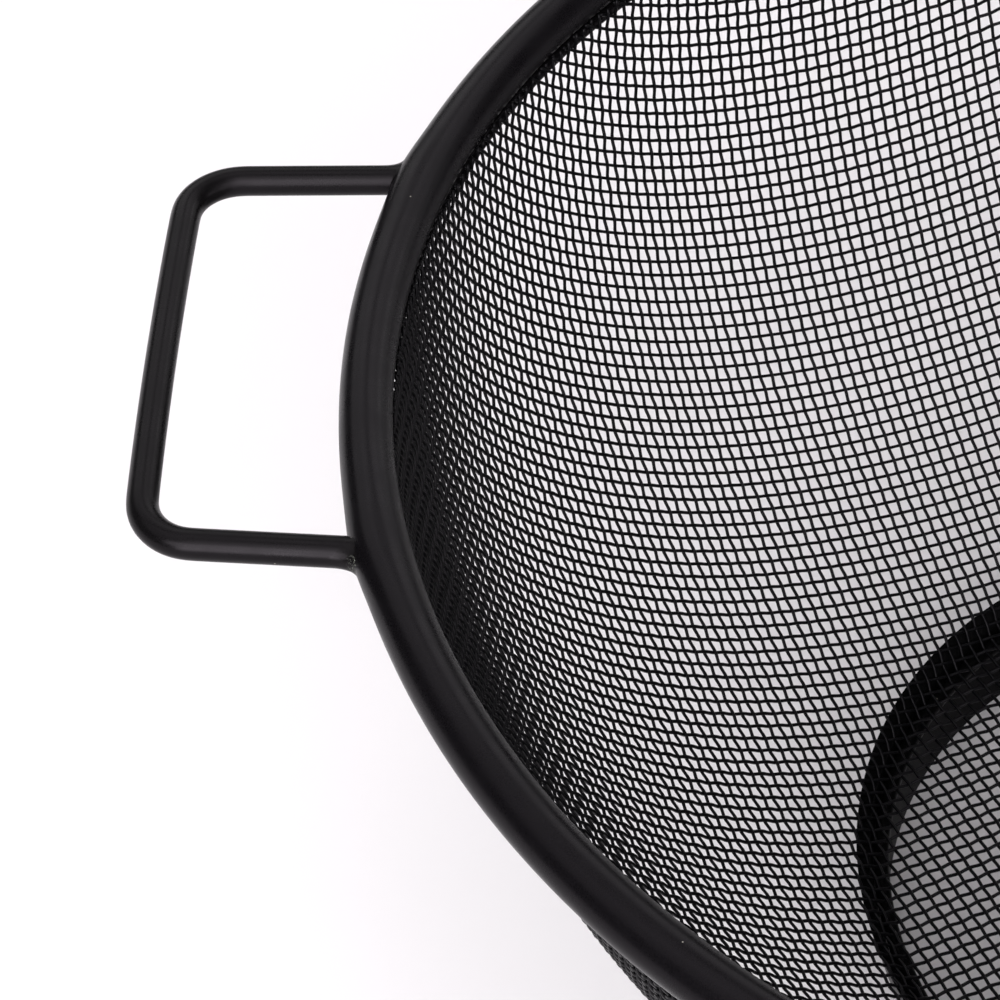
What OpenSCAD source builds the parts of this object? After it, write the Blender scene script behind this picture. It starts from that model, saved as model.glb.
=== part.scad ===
// Round fire bowl pressed from woven wire cloth, with a thick round rim, two bent-rod
// handles welded to the rim and a tapered foot ring under a flat mesh floor.
// Millimetres. +Z is up, the origin is on the ground at the centre of the foot ring,
// and the handles lie along X.

/* [Rim] */
// Radius of the rim bar's centre line
rim_r = 195; // [188:1:220]
// Diameter of the round rim bar
rim_d = 10.5; // [9:0.5:12]
// Height of the rim bar's centre above the ground
rim_h = 175.5; // [168:0.5:180]

/* [Bowl] */
// Thickness of the woven cloth, where its wires cross
cloth_t = 1.3; // [1.2:0.1:1.8]
// Distance between the rim bar and the cloth's outer face, level with the cloth's top edge
rim_gap = 0.5; // [0.3:0.1:0.8]
// Height of the mesh floor, at the middle of the cloth
floor_h = 19.5; // [17:0.5:22]
// Radius of the flat mesh floor
floor_r = 92; // [88:0.5:96]
// Height of the 45 degree collar between the mesh floor and the round wall
collar_h = 4.5; // [4:0.5:6]
// Diameter of the wire hoop under the cloth's top edge
hem_d = 3; // [2.5:0.5:3.5]

/* [Foot ring] */
// How much the foot ring widens for each millimetre of height
foot_flare = 0.234; // [0.15:0.001:0.3]
// Thickness of the foot ring's strip
foot_t = 2.4; // [2:0.1:3]
// Diameter of the wire hoop in the corner between the foot ring and the mesh floor
hoop_d = 3.5; // [3:0.5:4]

/* [Handles] */
// Diameter of the handle rod
rod_d = 6.2; // [5:0.1:7]
// Distance between the centre lines of a handle's two legs
handle_w = 104; // [90:1:120]
// Distance from the rim's centre line out to the grip's centre line, in the middle
handle_out = 41; // [34:1:50]
// Centre-line radius of the bends between the legs and the grip
bend_r = 10.5; // [6:0.5:14]
// Upward tilt of each handle, in degrees
handle_tilt = 1.5; // [0:0.1:6]
// Size of the weld bead round the end of each leg
bead = 2.2; // [1.5:0.1:3]

/* [Hidden] */
$fn = 240;

coat = [0.12, 0.12, 0.13];
cloth_coat = [0.09, 0.09, 0.10];
bead_coat = [0.16, 0.15, 0.14];
clear = 0.1;

// Half of the cloth's thickness, measured along the radius of a 45 degree face
collar_half = cloth_t / sqrt(2);
// The collar's middle line is r = z + collar_k, and its outer face ends at collar_top_z
collar_k = floor_r - floor_h;
collar_top_z = floor_h + collar_h;
collar_top_r = collar_top_z + collar_k + collar_half;

// The cloth's outer face ends at the rim bar's lower inner quarter
rim_touch = 40;
cloth_top_r = rim_r - (rim_d / 2) * cos(rim_touch) - rim_gap;
cloth_top_z = rim_h - (rim_d / 2) * sin(rim_touch);

// The wall is part of a ball whose outer face passes through the collar's top and the
// cloth's top
ball_z = (pow(cloth_top_r, 2) + pow(cloth_top_z, 2) - pow(collar_top_r, 2) - pow(collar_top_z, 2))
    / (2 * (cloth_top_z - collar_top_z));
outer_r = norm([cloth_top_r, ball_z - cloth_top_z]);
inner_r = outer_r - cloth_t;

// Where the ball's inner face meets the collar's inner face
inner_k = collar_k - collar_half;
inner_sum = ball_z + inner_k;
collar_in_z = ball_z - (inner_sum + sqrt(2 * pow(inner_r, 2) - pow(inner_sum, 2))) / 2;

// Hem wire, tucked between the rim bar and the outside of the cloth
hem_r = cloth_top_r + hem_d / 2 + clear;
hem_z = rim_h - sqrt(pow((rim_d + hem_d) / 2 + clear, 2) - pow(rim_r - hem_r, 2));

// Foot ring: its top follows the underside of the collar, up to the collar's top
foot_r = collar_top_r + clear - foot_flare * collar_top_z;
foot_in_r = foot_r - foot_t;
foot_top_in_z = collar_top_z - foot_t / (1 - foot_flare);
hoop_z = floor_h - cloth_t / 2 - hoop_d / 2 - clear;
hoop_r = foot_in_r + foot_flare * hoop_z - hoop_d / 2 - clear;

// Handles
leg_y = handle_w / 2;
leg_len = handle_out - bend_r;
// Each leg starts on the rim bar's centre line and is then cut back to the bar
leg_in = rim_r - sqrt(pow(rim_r, 2) - pow(leg_y, 2));
// Where a leg's centre line meets the outside of the rim bar
joint_x = sqrt(pow(rim_r + rim_d / 2, 2) - pow(leg_y, 2)) - rim_r;

// A round bar bent into a full ring
module hoop(ring_r, bar_d, z) {
    translate([0, 0, z])
        rotate_extrude()
            translate([ring_r, 0])
                circle(d = bar_d);
}

module rim_bar() {
    hoop(rim_r, rim_d, rim_h);
}

// Puts a handle piece, drawn with +X pointing outward from the rim, at the +X side
module at_handle() {
    translate([rim_r, 0, rim_h])
        rotate([0, -handle_tilt, 0])
            children();
}

module rod(length) {
    cylinder(d = rod_d, h = length);
}

module bend() {
    rotate_extrude(angle = 90)
        translate([bend_r, 0])
            circle(d = rod_d);
}

// One straight leg, from the middle of the rim bar out to the bend
module leg() {
    translate([-leg_in, 0, 0])
        rotate([0, 90, 0])
            rod(leg_len + leg_in);
}

module handle_rod() {
    for (side = [-1, 1])
        translate([0, side * leg_y, 0])
            leg();
    translate([leg_len, leg_y - bend_r, 0])
        bend();
    translate([leg_len, bend_r - leg_y, 0])
        mirror([0, 1, 0])
            bend();
    translate([handle_out, bend_r - leg_y, 0])
        rotate([-90, 0, 0])
            rod(handle_w - 2 * bend_r);
}

module handle() {
    difference() {
        at_handle()
            handle_rod();
        rim_bar();
    }
}

// Cone of weld metal round a leg, fitted to the rim bar; side is -1 or 1 along Y
module weld(side) {
    difference() {
        at_handle()
            translate([joint_x - bead, side * leg_y, 0])
                rotate([0, 90, 0])
                    cylinder(r1 = rod_d / 2 + 1.5 * bead, r2 = rod_d / 2 + bead / 10, h = 2 * bead);
        at_handle()
            translate([0, side * leg_y, 0])
                leg();
        rim_bar();
    }
}

module to_left() {
    mirror([1, 0, 0])
        children();
}

module rim_ring() {
    color(coat)
        rim_bar();
}

module hem_wire() {
    color(coat)
        hoop(hem_r, hem_d, hem_z);
}

// Everything inside one face of the cloth: the ball above the collar, and the collar.
// The ball runs on a little way down inside the collar, so the two never just touch.
module bowl_space(face_r, meet_z, face_k, bottom_z, top_z) {
    lap = 1;
    intersection() {
        translate([0, 0, ball_z])
            sphere(r = face_r);
        translate([0, 0, meet_z - lap])
            cylinder(r = rim_r, h = top_z - meet_z + lap);
    }
    translate([0, 0, bottom_z])
        cylinder(r1 = bottom_z + face_k, r2 = meet_z + face_k, h = meet_z - bottom_z);
}

// The pressed cloth as a closed skin: round wall, 45 degree collar and flat floor
module mesh_bowl() {
    color(cloth_coat)
        difference() {
            bowl_space(
                outer_r, collar_top_z, collar_k + collar_half,
                floor_h - cloth_t / 2, cloth_top_z
            );
            bowl_space(inner_r, collar_in_z, inner_k, floor_h + cloth_t / 2, cloth_top_z + 1);
        }
}

module foot_ring() {
    color(coat)
        rotate_extrude()
            polygon([
                [foot_in_r, 0],
                [foot_r, 0],
                [foot_r + foot_flare * collar_top_z, collar_top_z],
                [foot_in_r + foot_flare * foot_top_in_z, foot_top_in_z]
            ]);
}

module foot_hoop() {
    color(coat)
        hoop(hoop_r, hoop_d, hoop_z);
}

module right_handle() {
    color(coat)
        handle();
}

module left_handle() {
    color(coat)
        to_left()
            handle();
}

module right_front_weld() {
    color(bead_coat)
        weld(-1);
}

module right_rear_weld() {
    color(bead_coat)
        weld(1);
}

module left_front_weld() {
    color(bead_coat)
        to_left()
            weld(-1);
}

module left_rear_weld() {
    color(bead_coat)
        to_left()
            weld(1);
}

rim_ring();
hem_wire();
mesh_bowl();
foot_hoop();
foot_ring();
left_handle();
right_handle();
left_front_weld();
left_rear_weld();
right_front_weld();
right_rear_weld();
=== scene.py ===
"""Looks of the woven wire fire bowl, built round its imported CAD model.

The shapes are worked out in millimetres and scaled to metres when a mesh is made. The
frame is the CAD model's: +Z up, the ground at z = 0, the handles along X.
"""

import math

import bpy
import numpy as np
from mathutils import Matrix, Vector


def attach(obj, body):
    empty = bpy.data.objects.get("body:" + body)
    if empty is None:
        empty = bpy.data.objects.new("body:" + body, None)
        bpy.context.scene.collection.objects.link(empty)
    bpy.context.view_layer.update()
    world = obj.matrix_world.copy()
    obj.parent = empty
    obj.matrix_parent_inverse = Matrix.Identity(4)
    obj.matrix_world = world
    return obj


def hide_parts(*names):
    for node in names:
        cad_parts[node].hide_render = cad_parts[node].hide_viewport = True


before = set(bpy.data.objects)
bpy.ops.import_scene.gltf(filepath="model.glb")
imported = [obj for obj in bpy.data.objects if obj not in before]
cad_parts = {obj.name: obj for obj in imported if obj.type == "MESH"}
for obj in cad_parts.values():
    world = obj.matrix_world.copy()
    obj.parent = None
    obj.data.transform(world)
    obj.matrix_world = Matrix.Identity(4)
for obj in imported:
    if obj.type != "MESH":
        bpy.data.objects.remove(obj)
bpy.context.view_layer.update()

MM = 0.001

# Sizes of part.scad, in millimetres, but HANDLE_TILT is in degrees and FOOT_FLARE a ratio.
# A BAR_R is the radius of the bar itself, and a Z the height of its middle.
RIM_R, RIM_BAR_R, RIM_Z = 195.0, 5.25, 175.5
BALL_R, BALL_Z = 190.531, 188.5
FLOOR_R, FLOOR_Z = 92.0, 19.5
HEM_R, HEM_BAR_R, HEM_Z = 192.08, 1.5, 169.3
FOOT_R, FOOT_T, FOOT_FLARE = 91.9, 2.4, 0.234
FOOT_TOP_IN, FOOT_TOP_OUT = 20.85, 23.95
HOOP_R, HOOP_BAR_R, HOOP_Z = 91.63, 1.75, 17.0
ROD_R, HANDLE_W, HANDLE_OUT = 3.1, 104.0, 41.0
BEND_R, HANDLE_TILT = 10.5, 1.5
LEG_Y = HANDLE_W / 2
RIM_EDGE = RIM_R + RIM_BAR_R

# A handle is worked out at +X. The left one is its mirror image, and the right one is the
# left one turned half round.
TO_END = {"left": (-1, 1, 1), "right": (1, -1, 1)}

# How the rod differs from a square bend: its legs start a little further apart and lean
# in, and its grip sits further out, skewed and bowed
LEG_SPREAD, LEG_LEAN = 1.0095, 0.00068
GRIP_OUT, GRIP_SKEW, GRIP_BOW = 0.05, 0.021, 0.00032

# Height and reach of the two swellings that weld metal leaves on the rim by each leg
SWELLINGS = ((0.35, 24), (0.55, 9))

# The woven cloth: radius of a coated wire and how much the coat thickens it at a crossing,
# the spacing of the two sets of wires, and how far each set is bent out of the middle
# where it crosses the other
WIRE_R, CROSSING_COAT = 0.39, 0.05
WARP_PITCH, WEFT_PITCH = 3.04, 2.97
WARP_CRIMP, WEFT_CRIMP = 0.25, 0.20
WIRE_SIDES = 6
STEPS_PER_PITCH = 4
CLOTH_PARTS = 8

# Half the width of the flat weave, more than the bowl takes, and its turn in degrees
WEAVE_REACH, WEAVE_TURN = 300, 27.4
# The press draws the weave from DRAW_START out, and fully DRAW_WAY further out. It turns
# the cloth by an amount that swings twice and four times round it, and stretches it by
# one that swings four times.
DRAW_START, DRAW_WAY = 80, 200
TURN_2, TURN_4 = 0.114, 0.044
STRETCH, STRETCH_4 = 0.11, 0.062
# The press rounds the profile's corners this far to each side
CORNER_WAY = 2.5

# Where the round wall meets the 45 degree collar whose middle line is r = z + COLLAR_K
COLLAR_K = FLOOR_R - FLOOR_Z
COLLAR_SUM = BALL_Z + COLLAR_K
COLLAR_Z = BALL_Z - (COLLAR_SUM + math.sqrt(2 * BALL_R**2 - COLLAR_SUM**2)) / 2
COLLAR_R = COLLAR_Z + COLLAR_K

# Millimetres of cloth from its centre to the floor's edge, the collar's top and the cut
# edge, and the ball's angle at the collar's top
FLOOR_LEN = FLOOR_R
COLLAR_LEN = FLOOR_LEN + math.hypot(COLLAR_R - FLOOR_R, COLLAR_Z - FLOOR_Z)
CLOTH_LEN = 281.2
COLLAR_ANGLE = math.asin(COLLAR_R / BALL_R)


# ---------------------------------------------------------------- meshes


def make_mesh(name, verts, faces, material, smooth=True):
    """A mesh object from an (n, 3) array in millimetres and an (m, 4) array of quads."""
    mesh = bpy.data.meshes.new(name)
    verts = np.ascontiguousarray(verts, np.float32) * MM
    faces = np.ascontiguousarray(faces, np.int32)
    mesh.vertices.add(len(verts))
    mesh.vertices.foreach_set("co", verts.ravel())
    mesh.loops.add(faces.size)
    mesh.loops.foreach_set("vertex_index", faces.ravel())
    mesh.polygons.add(len(faces))
    mesh.polygons.foreach_set("loop_start", np.arange(0, faces.size, 4, dtype=np.int32))
    mesh.update(calc_edges=True)
    mesh.validate()
    mesh.polygons.foreach_set("use_smooth", np.full(len(faces), smooth))
    mesh.materials.append(material)
    obj = bpy.data.objects.new(name, mesh)
    bpy.context.scene.collection.objects.link(obj)
    return obj


def add_piece(name, verts, faces, material, node):
    """A visible piece that stands for a CAD node."""
    obj = make_mesh(name, verts, faces, material)
    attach(obj, "root")
    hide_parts(node)


def grid_faces(rows, cols, close_rows=False):
    """Quads of a grid of rows x cols points. Each row is a closed ring."""
    r = np.arange(rows if close_rows else rows - 1)
    a, b = np.meshgrid(r, np.arange(cols), indexing="ij")
    a2, b2 = (a + 1) % rows, (b + 1) % cols
    quads = np.stack([a * cols + b, a * cols + b2, a2 * cols + b2, a2 * cols + b], -1)
    return quads.reshape(-1, 4)


def cap_faces(first, sides, flip):
    """Quads that close a ring of an even number of points."""
    half = np.arange(sides // 2 - 1)
    quads = first + np.stack([half, half + 1, sides - 2 - half, sides - 1 - half], -1)
    return quads[:, ::-1] if flip else quads


def unit(v):
    return v / np.linalg.norm(v, axis=-1, keepdims=True)


def full_turn(steps):
    return np.arange(steps) * (2 * math.pi / steps)


def tube(centres, ups, radii, sides):
    """A capped tube along centres. ups are directions roughly square to the line."""
    along = unit(np.gradient(centres, axis=0))
    side = unit(np.cross(ups, along))
    up = np.cross(along, side)
    turn = full_turn(sides)
    ring = (
        np.cos(turn)[None, :, None] * up[:, None, :]
        + np.sin(turn)[None, :, None] * side[:, None, :]
    )
    verts = centres[:, None, :] + ring * np.asarray(radii).reshape(-1, 1, 1)
    n = len(centres)
    faces = np.concatenate(
        [
            grid_faces(n, sides)[:, ::-1],
            cap_faces(0, sides, False),
            cap_faces((n - 1) * sides, sides, True),
        ]
    )
    return verts.reshape(-1, 3), faces


def revolve(profile_r, profile_z, steps):
    """A closed profile turned round Z. Each profile array is one row per step, or one row."""
    turn = full_turn(steps)
    r = np.broadcast_to(profile_r, (steps, np.shape(profile_r)[-1]))
    z = np.broadcast_to(profile_z, r.shape)
    verts = np.stack([r * np.cos(turn)[:, None], r * np.sin(turn)[:, None], z], -1)
    return verts.reshape(-1, 3), grid_faces(steps, r.shape[1], close_rows=True)


def ring_of_bar(ring_r, bar_r, z, steps, sides, wave=0.0, wave_count=0, phase=0.0):
    """A round bar bent into a ring, with a slow unevenness wave millimetres deep."""
    turn, around = full_turn(steps), -full_turn(sides)
    uneven = wave * np.sin(wave_count * turn + phase) * np.sin(turn * 3 + 1)
    rise = wave * np.cos((wave_count - 2) * turn + 2 * phase)
    r = ring_r + uneven[:, None] + bar_r * np.cos(around)[None, :]
    h = z + rise[:, None] + bar_r * np.sin(around)[None, :]
    return revolve(r, h, steps)


# ---------------------------------------------------------------- materials


# Sockets of a Mix node that mixes colours: its two inputs and its output
MIX_FIRST, MIX_SECOND, MIX_RESULT = 6, 7, 2
# Tints of the coats' sheen
STEEL_SHEEN = (1.0, 0.90, 1.0, 1.0)
WIRE_SHEEN = (1.0, 0.92, 1.0, 1.0)


class Nodes:
    """A material's node tree, built with short calls. Colours are linear."""

    def __init__(self, name):
        self.material = bpy.data.materials.new(name)
        self.material.use_nodes = True
        self.tree = self.material.node_tree
        self.shader = self.tree.nodes["Principled BSDF"]
        coords = self.add("ShaderNodeTexCoord")
        self.place = coords.outputs["Object"]

    def add(self, kind, **values):
        node = self.tree.nodes.new(kind)
        for key, value in values.items():
            setattr(node, key, value)
        return node

    def link(self, output, node, socket):
        self.tree.links.new(output, node.inputs[socket])

    def noise(self, size_mm, detail=3.0, roughness=0.5):
        """Soft noise, its biggest lumps about size_mm across."""
        node = self.add("ShaderNodeTexNoise")
        node.inputs["Scale"].default_value = 1 / (size_mm * MM)
        node.inputs["Detail"].default_value = detail
        node.inputs["Roughness"].default_value = roughness
        self.link(self.place, node, "Vector")
        return node.outputs["Fac"]

    def cells(self, size_mm):
        """Scattered cells about size_mm across."""
        node = self.add("ShaderNodeTexVoronoi")
        node.inputs["Scale"].default_value = 1 / (size_mm * MM)
        self.link(self.place, node, "Vector")
        return node

    def ramp(self, value, low, high, out_low, out_high):
        """The value taken from low to high onto out_low to out_high, and held beyond."""
        node = self.add("ShaderNodeMapRange")
        for socket, number in (
            ("From Min", low),
            ("From Max", high),
            ("To Min", out_low),
            ("To Max", out_high),
        ):
            node.inputs[socket].default_value = number
        self.link(value, node, "Value")
        return node.outputs["Result"]

    def math(self, operation, first, second=0.0):
        node = self.add("ShaderNodeMath", operation=operation)
        for i, value in enumerate((first, second)):
            if isinstance(value, float):
                node.inputs[i].default_value = value
            else:
                self.tree.links.new(value, node.inputs[i])
        return node.outputs[0]

    def blend(self, factor, first, second):
        """Mix of two colours; each is a tuple or a socket."""
        node = self.add("ShaderNodeMix", data_type="RGBA")
        self.link(factor, node, 0)
        for i, value in ((MIX_FIRST, first), (MIX_SECOND, second)):
            if isinstance(value, tuple):
                node.inputs[i].default_value = (*value, 1)
            else:
                self.tree.links.new(value, node.inputs[i])
        return node.outputs[MIX_RESULT]

    def bump(self, height, strength, distance_mm):
        node = self.add("ShaderNodeBump")
        node.inputs["Strength"].default_value = strength
        node.inputs["Distance"].default_value = distance_mm * MM
        self.link(height, node, "Height")
        return node.outputs["Normal"]

    def finish(self, colour, roughness, normal=None, **constants):
        """Link what varies to the shader and set its constants; gives the material."""
        self.link(colour, self.shader, "Base Color")
        self.link(roughness, self.shader, "Roughness")
        if normal is not None:
            self.link(normal, self.shader, "Normal")
        for name, value in constants.items():
            self.shader.inputs[name.replace("_", " ")].default_value = value
        return self.material


def specks(nodes, cell_mm, share, radius):
    """1 in the middle of a share of the scattered cells, 0 elsewhere. Radius is in cells."""
    cell = nodes.cells(cell_mm)
    split = nodes.add("ShaderNodeSeparateColor")
    nodes.link(cell.outputs["Color"], split, "Color")
    chosen = nodes.math("GREATER_THAN", split.outputs["Red"], 1 - share)
    near = nodes.ramp(cell.outputs["Distance"], radius * 0.6, radius, 1.0, 0.0)
    return nodes.math("MULTIPLY", chosen, near)


def times(colour, factor):
    return tuple(factor * channel for channel in colour)


def coated_steel(name, black, roughness, dust_share, specular):
    """Satin black powder coat: fine orange peel, patchy sheen and a few specks of dust."""
    n = Nodes(name)
    tone = n.blend(n.noise(14, 4), times(black, 0.8), times(black, 1.25))
    grain = n.noise(0.35, 2)
    tone = n.blend(n.ramp(grain, 0.45, 0.75, 0.0, 0.35), tone, times(black, 2))
    dust = specks(n, cell_mm=2.6, share=dust_share, radius=0.07)
    tone = n.blend(dust, tone, (0.30, 0.28, 0.25))
    patch = n.ramp(n.noise(9, 3), 0.3, 0.7, roughness - 0.05, roughness + 0.05)
    rough = n.math("ADD", patch, n.ramp(grain, 0.3, 0.7, -0.04, 0.04))
    peel = n.math("ADD", n.noise(0.9, 2), n.math("MULTIPLY", grain, 0.5))
    height = n.math("ADD", peel, n.math("MULTIPLY", dust, 1.5))
    return n.finish(
        tone,
        rough,
        n.bump(height, strength=0.2, distance_mm=0.02),
        IOR=1.5,
        Specular_IOR_Level=specular,
        Specular_Tint=STEEL_SHEEN,
    )


def coated_wire(name):
    """Thin glossy coat on the cloth's wires, a little uneven where it pooled."""
    n = Nodes(name)
    tone = n.blend(n.noise(2.2, 2), (0.0013, 0.0013, 0.0016), (0.0028, 0.0028, 0.0034))
    rough = n.ramp(n.noise(1.1, 2), 0.3, 0.7, 0.28, 0.44)
    return n.finish(
        tone,
        rough,
        IOR=1.5,
        Specular_IOR_Level=0.11,
        Specular_Tint=WIRE_SHEEN,
    )


def lumps_and_painted_glint_zone(n):
    """1 next to the rim, on the lower outer side of each leg, where a weld gets its lumps and
    its painted glints.
    """
    axes = n.add("ShaderNodeSeparateXYZ")
    n.link(n.place, axes, "Vector")
    x, y, z = (axes.outputs[axis] for axis in "XYZ")
    out_y = n.math("SUBTRACT", n.math("ABSOLUTE", y), LEG_Y * MM)
    up_z = n.math("SUBTRACT", z, RIM_Z * MM)
    low_outside = n.ramp(n.math("SUBTRACT", out_y, up_z), 0.9 * MM, 2.2 * MM, 0.0, 1.0)
    squares = n.math("ADD", n.math("MULTIPLY", x, x), n.math("MULTIPLY", y, y))
    from_axis = n.math("SQRT", squares)
    near_rim = n.ramp(from_axis, (RIM_EDGE + 0.8) * MM, (RIM_EDGE + 2.2) * MM, 1.0, 0.0)
    return n.math("MULTIPLY", low_outside, near_rim)


def weld_metal(name):
    """Coated weld metal: a little rough, with painted glints, small bright specks in its
    colour standing in for highlights.
    """
    n = Nodes(name)
    tone = n.blend(n.noise(1.2, 5, 0.7), (0.0024, 0.0022, 0.0024), (0.0045, 0.0041, 0.0043))
    lump_and_glint_zone = lumps_and_painted_glint_zone(n)
    # Painted highlights: small bright specks in the colour stand in for glints of light on
    # the weld, only on its lower outer side next to the rim
    painted_glint = n.math("MULTIPLY", n.ramp(n.noise(0.32, 4, 0.7), 0.57, 0.62, 0.0, 1.0), lump_and_glint_zone)
    tone = n.blend(painted_glint, tone, (0.22, 0.23, 0.20))
    rough = n.ramp(n.noise(0.7, 4), 0.3, 0.7, 0.24, 0.38)
    lumps = n.math("MULTIPLY", n.noise(0.7, 3, 0.6), n.math("ADD", lump_and_glint_zone, 0.03))
    return n.finish(
        tone,
        rough,
        n.bump(n.math("ADD", lumps, painted_glint), strength=0.6, distance_mm=0.12),
        IOR=1.5,
        Specular_IOR_Level=0.115,
        Specular_Tint=STEEL_SHEEN,
    )


def floor_paper(name):
    """Plain pale paper, faintly cloudy."""
    n = Nodes(name)
    tone = n.blend(n.noise(220, 2), (0.800, 0.770, 0.794), (0.810, 0.780, 0.804))
    rough = n.ramp(n.noise(60, 2), 0.3, 0.7, 0.85, 0.95)
    return n.finish(tone, rough, IOR=1.3)


# Colour, roughness, share of cells with a speck of dust, and specular level of each coat
rim_finish = coated_steel("rim_coat", (0.0030, 0.0026, 0.0032), 0.30, 0.02, 0.135)
rod_finish = coated_steel("rod_coat", (0.0030, 0.0027, 0.0030), 0.30, 0.012, 0.115)
# The foot's coat is the rim's powder coat made darker and duller: painted shade for where the
# foot ring and its hoop stand under the cloth
foot_finish_painted_shade = coated_steel("foot_coat_shaded", (0.0016, 0.0016, 0.0017), 0.35, 0.02, 0.05)
wire_finish = coated_wire("cloth_coat")
weld_finish = weld_metal("weld_coat")


# ---------------------------------------------------------------- rim, hem and foot


def around_rim(points):
    """For each point: the middle of the bar next to it, the way out, and the bar's radius.

    Weld metal makes the bar's outer side stand proud near each handle leg.
    """
    x, y, z = points[..., 0], points[..., 1], points[..., 2]
    flat = np.hypot(x, y)
    middle = np.stack([x / flat * RIM_R, y / flat * RIM_R, np.full(flat.shape, RIM_Z)], -1)
    away = unit(points - middle)
    outward = np.clip((flat - RIM_R) / np.hypot(flat - RIM_R, z - RIM_Z), 0, 1)
    leg_x = math.sqrt(RIM_R**2 - LEG_Y**2)
    from_leg = np.hypot(np.abs(middle[..., 0]) - leg_x, np.abs(middle[..., 1]) - LEG_Y)
    proud = sum(height * np.exp(-((from_leg / reach) ** 2)) for height, reach in SWELLINGS)
    return middle, away, RIM_BAR_R + proud * outward


def rim_surface(points, lift=0.0):
    """The points moved to the rim bar's surface, lift above it."""
    middle, away, radius = around_rim(points)
    return middle + away * (radius + lift)[..., None]


def rim_clearance(points):
    """Distance of the points from the rim bar's surface, below zero inside it."""
    middle, _, radius = around_rim(points)
    return np.linalg.norm(points - middle, axis=-1) - radius


def build_rings():
    """The rim bar, the hem hoop behind it and the hoop inside the foot."""
    v, f = ring_of_bar(RIM_R, RIM_BAR_R, RIM_Z, steps=960, sides=56)
    # A bent bar is never quite even
    slow = 0.03 * np.sin(11 * np.arctan2(v[:, 1], v[:, 0]))
    add_piece("rim_bar", rim_surface(v, slow), f, rim_finish, "rim_ring")
    v, f = ring_of_bar(
        HEM_R, HEM_BAR_R, HEM_Z, steps=600, sides=16, wave=0.02, wave_count=17, phase=1.0
    )
    add_piece("hem_hoop", v, f, rim_finish, "hem_wire")
    v, f = ring_of_bar(
        HOOP_R, HOOP_BAR_R, HOOP_Z, steps=420, sides=20, wave=0.02, wave_count=9, phase=2.0
    )
    add_piece("foot_wire", v, f, foot_finish_painted_shade, "foot_hoop")


def arc_like(t, start, corner, end):
    """A curve that leaves start towards corner and reaches end coming from it."""
    return (1 - t) ** 2 * start + 2 * t * (1 - t) * corner + t * t * end


def rounded(corners, radius):
    """The corners of a closed polygon, each rounded with an arc-like curve."""
    points = []
    count = len(corners)
    for i, corner in enumerate(corners):
        here = np.array(corner)
        to_last = unit(np.array(corners[i - 1]) - here)
        to_next = unit(np.array(corners[(i + 1) % count]) - here)
        for t in np.linspace(0, 1, 5):
            points.append(arc_like(t, here + to_last * radius, here, here + to_next * radius))
    return np.array(points)


def build_foot():
    """The foot ring's strip, wider at the top."""
    corners = [
        (FOOT_R - FOOT_T, 0.0),
        (FOOT_R - FOOT_T + FOOT_FLARE * FOOT_TOP_IN, FOOT_TOP_IN),
        (FOOT_R + FOOT_FLARE * FOOT_TOP_OUT, FOOT_TOP_OUT),
        (FOOT_R, 0.0),
    ]
    profile = rounded(corners, radius=0.6)
    v, f = revolve(profile[:, 0], profile[:, 1], steps=540)
    add_piece("foot_strip", v, f, foot_finish_painted_shade, "foot_ring")


# ---------------------------------------------------------------- handles and welds


def handle_frame(points):
    """Handle coordinates (x out from the rim, y along it, z up) to the frame at +X."""
    tilt = math.radians(HANDLE_TILT)
    x, y, z = points[..., 0], points[..., 1], points[..., 2]
    return np.stack(
        [
            RIM_R + x * math.cos(tilt) - z * math.sin(tilt),
            y,
            RIM_Z + x * math.sin(tilt) + z * math.cos(tilt),
        ],
        -1,
    )


def end_x(y, z, gap):
    """Where lines parallel to a leg, at heights z and places y, stop short of the rim."""
    # Each x is searched by halving, from inside the rim bar to well clear of it
    low, high = np.full(np.shape(y), -7.0), np.full(np.shape(y), 12.0)
    for _ in range(40):
        x = (low + high) / 2
        clear_of_rim = rim_clearance(handle_frame(np.stack([x, y, z], -1))) > gap
        high = np.where(clear_of_rim, x, high)
        low = np.where(clear_of_rim, low, x)
    return high


def as_bent(x, y):
    """The rod isn't bent quite square: its legs lean in and its grip is skewed and bowed."""
    out = np.clip(x / HANDLE_OUT, 0, 1) ** 2
    bent_x = x + out * (GRIP_OUT + GRIP_SKEW * y - GRIP_BOW * y**2)
    return bent_x, y * (LEG_SPREAD - LEG_LEAN * x)


def handle_path():
    """Centre line of a handle rod from one leg's end to the other's, and its bends.

    The bends come as a number for each point: 0 on the straights, 1 in mid-bend.
    """
    # Places along a leg, round a bend and along the grip
    leg_x = HANDLE_OUT - BEND_R
    legs = np.linspace(0, leg_x, 44)[:-1]
    turn = np.linspace(0, math.pi / 2, 19)
    grip = np.linspace(-LEG_Y + BEND_R, LEG_Y - BEND_R, 80)[1:-1]
    first = np.stack([legs, np.full(legs.shape, -LEG_Y)], -1)
    corner = np.stack(
        [leg_x + BEND_R * np.sin(turn), -LEG_Y + BEND_R - BEND_R * np.cos(turn)], -1
    )
    middle = np.stack([np.full(grip.shape, HANDLE_OUT), grip], -1)
    half = np.concatenate([first, corner])
    other = (half * [1, -1])[::-1]
    line = np.concatenate([half, middle, other])
    # Rounding each place over its neighbours softens where the bends begin
    for _ in range(6):
        line[1:-1] = (line[:-2] + 2 * line[1:-1] + line[2:]) / 4
    bent = np.concatenate([np.zeros(len(first)), np.sin(2 * turn), np.zeros(len(middle))])
    bent = np.concatenate([bent, np.sin(2 * turn[::-1]), np.zeros(len(first))])
    x, y = as_bent(line[:, 0], line[:, 1])
    return np.stack([x, y, np.zeros(len(line))], -1), bent


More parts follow.
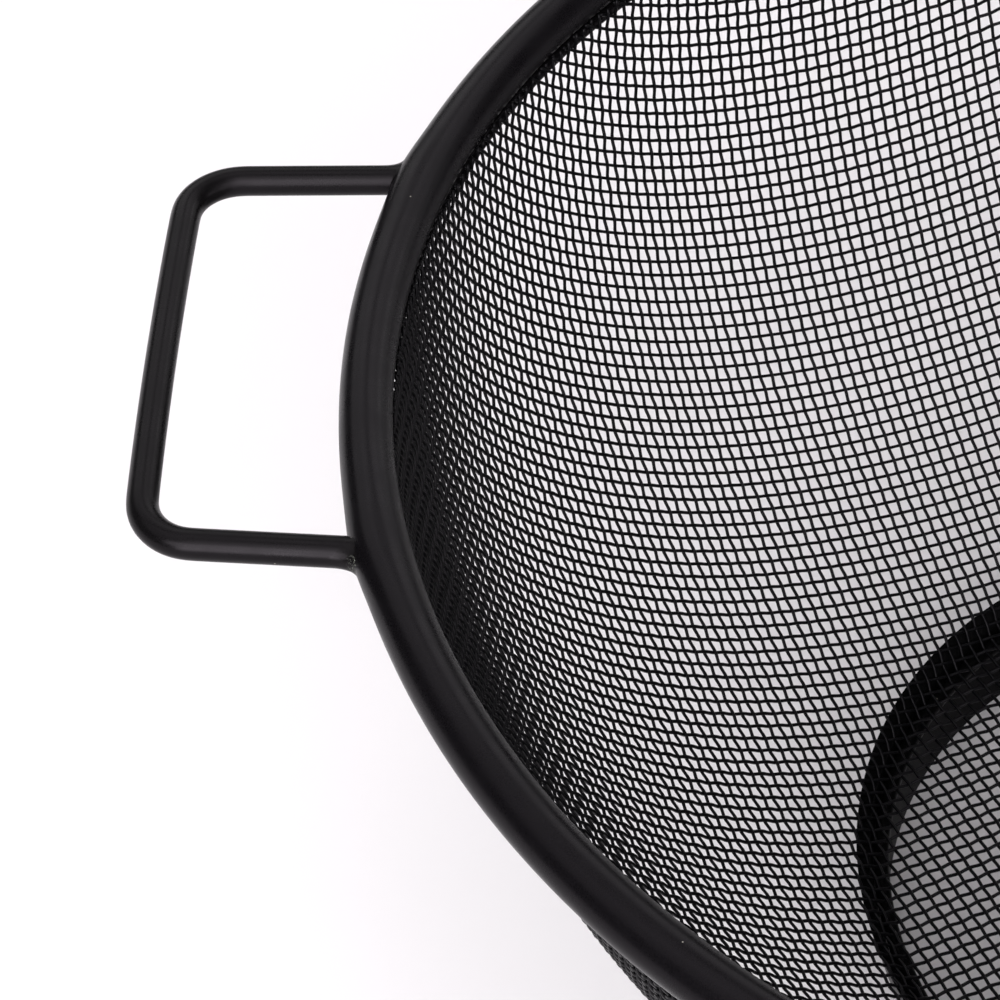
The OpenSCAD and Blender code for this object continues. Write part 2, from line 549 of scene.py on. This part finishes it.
def build_handle(end):
    """One handle rod, its ends shaped to the rim bar."""
    line, bent = handle_path()
    sides = 40
    ups = np.tile([0.0, 0.0, 1.0], (len(line), 1))
    verts, faces = tube(line, ups, np.full(len(line), ROD_R), sides)
    grid = verts.reshape(len(line), sides, 3)
    # A bent rod is a little flatter in its bends
    flatter = 1 + np.stack([bent * 0.02, bent * 0.02, bent * -0.03], -1)
    grid = line[:, None, :] + (grid - line[:, None, :]) * flatter[:, None, :]
    # The rows nearest each end slide along the leg, so that the end follows the rim bar.
    # It stops shorter on its inner side, most of all on the first leg.
    for first, step, notch in ((0, 1, 0.7), (len(line) - 1, -1, 0.1)):
        y, z = grid[first, :, 1], grid[first, :, 2]
        inner = np.clip((abs(line[first, 1]) - np.abs(y)) / ROD_R, 0, 1)
        stop = end_x(y, z, 0.15 + notch * inner**2)
        run = line[first + step] - line[first]
        for k, share in enumerate(np.linspace(0, 1, 14)):
            row = first + k * step
            slide = (1 - share) * (stop - grid[row, :, 0])
            grid[row, :, 0] += slide
            grid[row, :, 1] += slide * run[1] / run[0]
    world = handle_frame(grid.reshape(-1, 3)) * TO_END[end]
    add_piece(f"grip_{end}", world, faces[:, ::-1], rod_finish, f"{end}_handle")


def build_weld(end, side, place, seed):
    """A fillet of weld metal round the end of a leg, biggest on the handle's outer side."""
    rng = np.random.default_rng(seed)
    count = 144
    turn = full_turn(count)
    up, out = np.cos(turn), np.sin(turn)
    outer, inner, low = np.clip(out, 0, 1), np.clip(-out, 0, 1), np.clip(-up, 0, 1)
    ripple = 1 + 0.02 * np.sin(turn * 11 + rng.uniform(0, 6))
    ripple = ripple + 0.03 * np.sin(turn * 5 + rng.uniform(0, 6))
    # How far the metal reaches along the leg and out over the rim, all round the leg
    along_leg = (2.6 + 2.8 * outer**2 + 1.2 * low**2 - 1.8 * inner) * ripple
    over_rim = (0.5 + 2.3 * outer**2.4 + 1.2 * low**2) * ripple
    y_leg = as_bent(0.0, side * LEG_Y)[1]

    def leg_point(radius, x):
        """Points round the leg, radius from its centre line and x out along it."""
        lean = -LEG_LEAN * LEG_Y * side * x
        y = y_leg + lean + side * out * radius
        return handle_frame(np.stack([x, y, up * radius], -1))

    edge_x = end_x(y_leg + side * out * ROD_R, up * ROD_R, 0.0)
    # The metal sits back from the inner side of the leg, which leaves a dark notch there
    notch = 1.8 if side < 0 else 0.3
    radius = ROD_R - notch * inner**2
    start = leg_point(radius - 0.02, edge_x + along_leg)
    root = leg_point(radius, edge_x)
    foot = rim_surface(leg_point(radius + over_rim, edge_x), -0.04)
    bulge = root + 0.02 * (start + foot - 2 * root)
    # The rows before the fillet and after it lie just under the surfaces of the leg and
    # the rim, so its shading stays smooth where it comes out of them. The last two close
    # the piece inside.
    rows = [
        leg_point(radius - 0.1, edge_x + along_leg + 1.0),
        leg_point(radius - 0.03, edge_x + along_leg + 0.5),
    ]
    rows += [arc_like(t, start, bulge, foot) for t in np.linspace(0, 1, 13)]
    rows += [
        rim_surface(leg_point(radius + over_rim + 0.3, edge_x), -0.05),
        rim_surface(leg_point(radius * 0.8, edge_x), -0.6),
        leg_point(radius * 0.8, edge_x + along_leg),
    ]
    grid = np.stack(rows, 1).reshape(-1, 3) * TO_END[end]
    faces = grid_faces(count, len(rows), close_rows=True)
    if side < 0:
        faces = faces[:, ::-1]
    piece = f"{end}_{place}"
    add_piece(f"bead_{piece}", grid, faces, weld_finish, f"{piece}_weld")


def build_handles():
    """Both handles, each with a weld at both legs."""
    seed = 10
    for end in TO_END:
        build_handle(end)
        for side in (-1, 1):
            seed += 1
            front = (side < 0) == (end == "left")
            build_weld(end, side, "front" if front else "rear", seed)


# ---------------------------------------------------------------- woven cloth


def cloth_profile(s):
    """Radius and height of the cloth's middle, s millimetres of cloth from its centre."""
    slope = (s - FLOOR_LEN) / math.sqrt(2)
    angle = COLLAR_ANGLE + (s - COLLAR_LEN) / BALL_R
    collar = s > FLOOR_LEN
    wall = s > COLLAR_LEN
    r = np.where(wall, BALL_R * np.sin(angle), np.where(collar, FLOOR_R + slope, s))
    z = np.where(
        wall, BALL_Z - BALL_R * np.cos(angle), np.where(collar, FLOOR_Z + slope, FLOOR_Z)
    )
    return r, z


def cloth_point(u, v):
    """Point of the pressed cloth for (u, v) of the flat weave, its normal, and s."""
    rho, psi = np.hypot(u, v), np.arctan2(v, u)
    drawn = np.clip(rho - DRAW_START, 0, None) / DRAW_WAY
    theta = (
        math.radians(WEAVE_TURN)
        + psi
        + drawn * (TURN_4 * np.sin(4 * psi) - TURN_2 * np.sin(2 * psi))
    )
    s = rho * (1 + drawn * (STRETCH - STRETCH_4 * np.cos(4 * psi)))
    # The profile's corners are rounded by taking its mean over a short way
    way = np.linspace(-CORNER_WAY, CORNER_WAY, 7)
    r, z = cloth_profile(s[..., None] + way)
    fall = np.gradient(r, axis=-1).mean(-1), np.gradient(z, axis=-1).mean(-1)
    r, z = r.mean(-1), z.mean(-1)
    steep = np.hypot(*fall)
    dr, dz = fall[0] / steep, fall[1] / steep
    cos, sin = np.cos(theta), np.sin(theta)
    point = np.stack([r * cos, r * sin, z], -1)
    normal = np.stack([-dz * cos, -dz * sin, dr], -1)
    return point, normal, s


def wire_line(fixed, pitch_along, crimp, parity, along_u):
    """One wire's centre line, the cloth's normal and the wire's radius along it.

    None for a wire beyond the cloth's edge. The crimp swings half a wave from crossing to
    crossing, and parity says on which side of the cloth the wire is at the middle one.
    """
    reach = int(WEAVE_REACH / pitch_along)
    step = np.arange(-reach * STEPS_PER_PITCH, reach * STEPS_PER_PITCH + 1)
    way = step / STEPS_PER_PITCH
    moving, still = way * pitch_along, np.full(way.shape, fixed)
    point, normal, s = cloth_point(*((moving, still) if along_u else (still, moving)))
    inside = np.flatnonzero(s < CLOTH_LEN)
    if len(inside) < 3:
        return None
    keep = slice(inside[0], inside[-1] + 1)
    wave = np.cos(math.pi * way[keep]) * (1 if parity else -1)
    centre = point[keep] + normal[keep] * (crimp * wave)[:, None]
    radius = WIRE_R * (1 + CROSSING_COAT * wave**2)
    return centre, normal[keep], radius


def build_cloth():
    """Both sets of wires. Neighbouring wires are kept together in a few pieces."""
    for name, pitch, pitch_along, crimp, along_u in (
        ("warp", WARP_PITCH, WEFT_PITCH, WARP_CRIMP, True),
        ("weft", WEFT_PITCH, WARP_PITCH, WEFT_CRIMP, False),
    ):
        reach = int(WEAVE_REACH / pitch)
        wires = []
        for i in range(-reach, reach + 1):
            parity = (i % 2 == 0) == along_u
            wire = wire_line(i * pitch, pitch_along, crimp, parity, along_u)
            if wire is not None:
                wires.append(wire)
        # Each piece gets about the same length of wire
        total = sum(len(wire[0]) for wire in wires)
        groups, done = [[] for _ in range(CLOTH_PARTS)], 0
        for wire in wires:
            groups[min(CLOTH_PARTS - 1, done * CLOTH_PARTS // total)].append(wire)
            done += len(wire[0])
        for number, group in enumerate(groups):
            verts, faces, first = [], [], 0
            for centre, normal, radius in group:
                v, f = tube(centre, normal, radius, WIRE_SIDES)
                verts.append(v)
                faces.append(f + first)
                first += len(v)
            add_piece(
                f"cloth_{name}_{number + 1}",
                np.concatenate(verts),
                np.concatenate(faces),
                wire_finish,
                "mesh_bowl",
            )


# ---------------------------------------------------------------- studio


# Name, azimuth, elevation, spread and strength of each lamp. The angles are in degrees.
LAMPS = (
    ("front_low", -75, 12, 24, 0.5),
    ("front_left_low", -105, 12, 24, 1.35),
    ("front_right_low", -45, 12, 24, 0.3),
    ("right_low", -15, 12, 24, 0.25),
    ("back_right_low", 45, 12, 28, 0.18),
    ("front_middle", -90, 35, 32, 1.4),
    ("left_middle", -120, 35, 32, 1.25),
    ("front_right_middle", -60, 35, 32, 0.55),
    ("right", -30, 35, 32, 0.12),
    ("back_right", 60, 35, 42, 0.5),
    ("back_middle", 90, 35, 42, 0.2),
    ("back_left", 120, 35, 42, 0.44),
    ("front_high", -90, 62, 30, 0.66),
    ("left_high", 180, 58, 42, 0.33),
    ("back_high", 95, 74, 26, 0.2),
    ("top", 150, 80, 42, 0.2),
)


def soft_light(name, azimuth, elevation, spread, strength):
    """A far, broad lamp. Azimuth is counted from +X towards +Y; angles in degrees."""
    lamp = bpy.data.lights.new(name, "SUN")
    lamp.angle = math.radians(spread)
    lamp.energy = strength
    a, e = math.radians(azimuth), math.radians(elevation)
    from_lamp = -Vector((math.cos(e) * math.cos(a), math.cos(e) * math.sin(a), math.sin(e)))
    obj = bpy.data.objects.new(name, lamp)
    obj.rotation_euler = from_lamp.to_track_quat("-Z", "Y").to_euler()
    bpy.context.scene.collection.objects.link(obj)


# Half the width of the paper, in millimetres, and the strength of the light all round
FLOOR_REACH = 6000.0
SKY = 0.02

# The camera's place in metres, its turn in degrees and its focal length in millimetres
CAMERA_PLACE = (-0.1129, -0.4927, 0.6486)
CAMERA_TURN = (43.92, 3.20, 3.48)
CAMERA_LENS = 126.1


def add_camera(scene):
    data = bpy.data.cameras.new("camera")
    data.sensor_width = 36
    data.lens = CAMERA_LENS
    data.clip_start, data.clip_end = 0.05, 20
    camera = bpy.data.objects.new("camera", data)
    camera.location = CAMERA_PLACE
    camera.rotation_euler = [math.radians(a) for a in CAMERA_TURN]
    scene.collection.objects.link(camera)
    scene.camera = camera


def build_studio():
    """Paper floor, lamps, the light all round and the camera."""
    scene = bpy.context.scene
    world = bpy.data.worlds.new("studio")
    world.use_nodes = True
    background = world.node_tree.nodes["Background"]
    background.inputs["Color"].default_value = (1, 1, 1, 1)
    background.inputs["Strength"].default_value = SKY
    scene.world = world

    corners = np.array([[-1, -1, 0], [1, -1, 0], [1, 1, 0], [-1, 1, 0]]) * FLOOR_REACH
    square = np.array([[0, 1, 2, 3]])
    floor = make_mesh("paper_floor", corners, square, floor_paper("paper"), smooth=False)

    for lamp in LAMPS:
        soft_light(*lamp)

    scene.view_settings.view_transform = "Standard"
    scene.view_settings.look = "None"
    add_camera(scene)


build_rings()
build_foot()
build_handles()
build_cloth()
build_studio()
